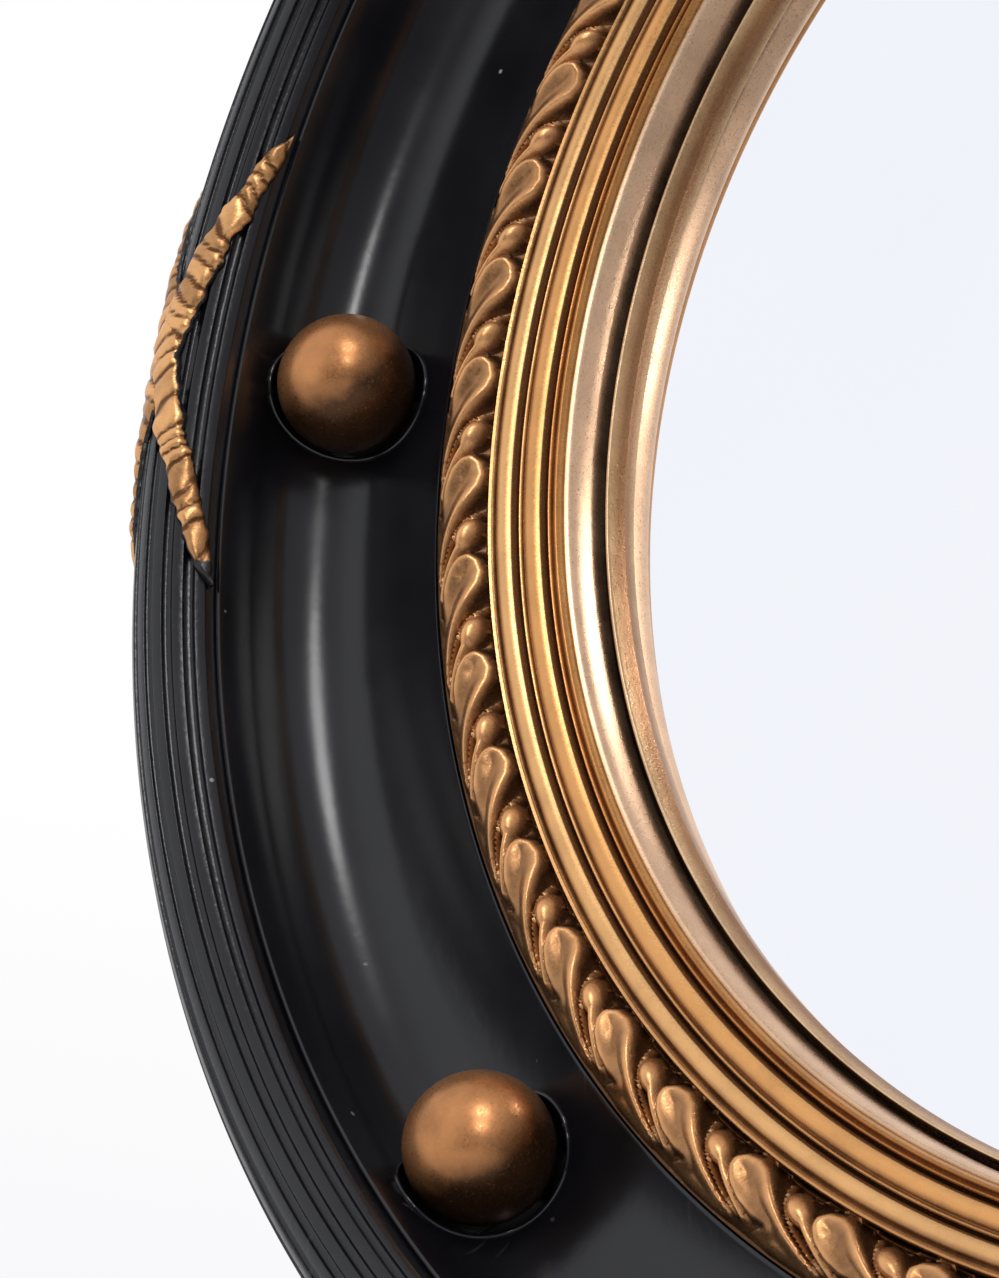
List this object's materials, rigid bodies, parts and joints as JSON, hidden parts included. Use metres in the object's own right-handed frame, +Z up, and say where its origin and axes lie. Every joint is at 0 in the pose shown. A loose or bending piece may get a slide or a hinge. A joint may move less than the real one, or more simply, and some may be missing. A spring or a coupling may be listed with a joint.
{
  "type": "convex mirror",
  "caption": "Round convex wall mirror: domed glass in a black cove frame with reeded rim, gilt balls, crossed ribbons and a gadrooned gilt sight moulding, hung by rings.",
  "frame": {"origin": "centre of the mirror on the wall plane, at the back faces of the two rubber bumpers", "axes": "+Z up, +X to the right of someone who looks at the glass, -Y the way the glass faces, +Y into the wall"},
  "size_m": [0.4056, 0.0622, 0.4056],
  "materials": {
    "black_lacquer": "black satin lacquer over turned wood",
    "gilt_moulding": "copper-gold gilding, toned brown in the hollows",
    "gilt_carving": "cast ornament, copper-gold gilding with a dark brown wash",
    "gilt_ball": "turned ball, bronze gilding",
    "gilt_slip": "gold-brown gilding with fine glitter",
    "mirror_glass": "silvered domed glass",
    "dowel": "plain birch",
    "felt": "grey felt",
    "hardboard": "brown hardboard",
    "zinc_steel": "zinc-plated steel",
    "rubber": "black rubber"
  },
  "bodies": {
    "frame": {"cove_frame": "black_lacquer", "reeded_rim": "black_lacquer", "sight_moulding": "gilt_moulding", "gadroon_strip": "gilt_carving", "sight_slip": "gilt_slip", "mirror_glass": "mirror_glass", "glass_cushion": "felt", "backing_board": "hardboard", "backing_screws": "zinc_steel", "ball_pins": "dowel", "ball_1": "gilt_ball", "ball_2": "gilt_ball", "ball_3": "gilt_ball", "ball_4": "gilt_ball", "ball_5": "gilt_ball", "ball_6": "gilt_ball", "ball_7": "gilt_ball", "ball_8": "gilt_ball", "ribbon_cross_1": "gilt_carving", "ribbon_cross_2": "gilt_carving", "ribbon_cross_3": "gilt_carving", "ribbon_cross_4": "gilt_carving", "hanger_strap_left": "zinc_steel", "bumper_left": "rubber", "hanger_strap_right": "zinc_steel", "bumper_right": "rubber", "hanger_screws": "zinc_steel", "bumper_screws": "zinc_steel"},
    "left_ring": {"hanger_ring_left": "zinc_steel"},
    "right_ring": {"hanger_ring_right": "zinc_steel"}
  },
  "joints": [
    {"name": "left_ring_swing", "type": "hinge", "parent": "frame", "child": "left_ring", "pos_m": [-0.15094, -0.0047, 0.08195], "axis": [1, 0, 0], "range_deg": [0, 175]},
    {"name": "right_ring_swing", "type": "hinge", "parent": "frame", "child": "right_ring", "pos_m": [0.15094, -0.0047, 0.08195], "axis": [1, 0, 0], "range_deg": [0, 175]}
  ]
}
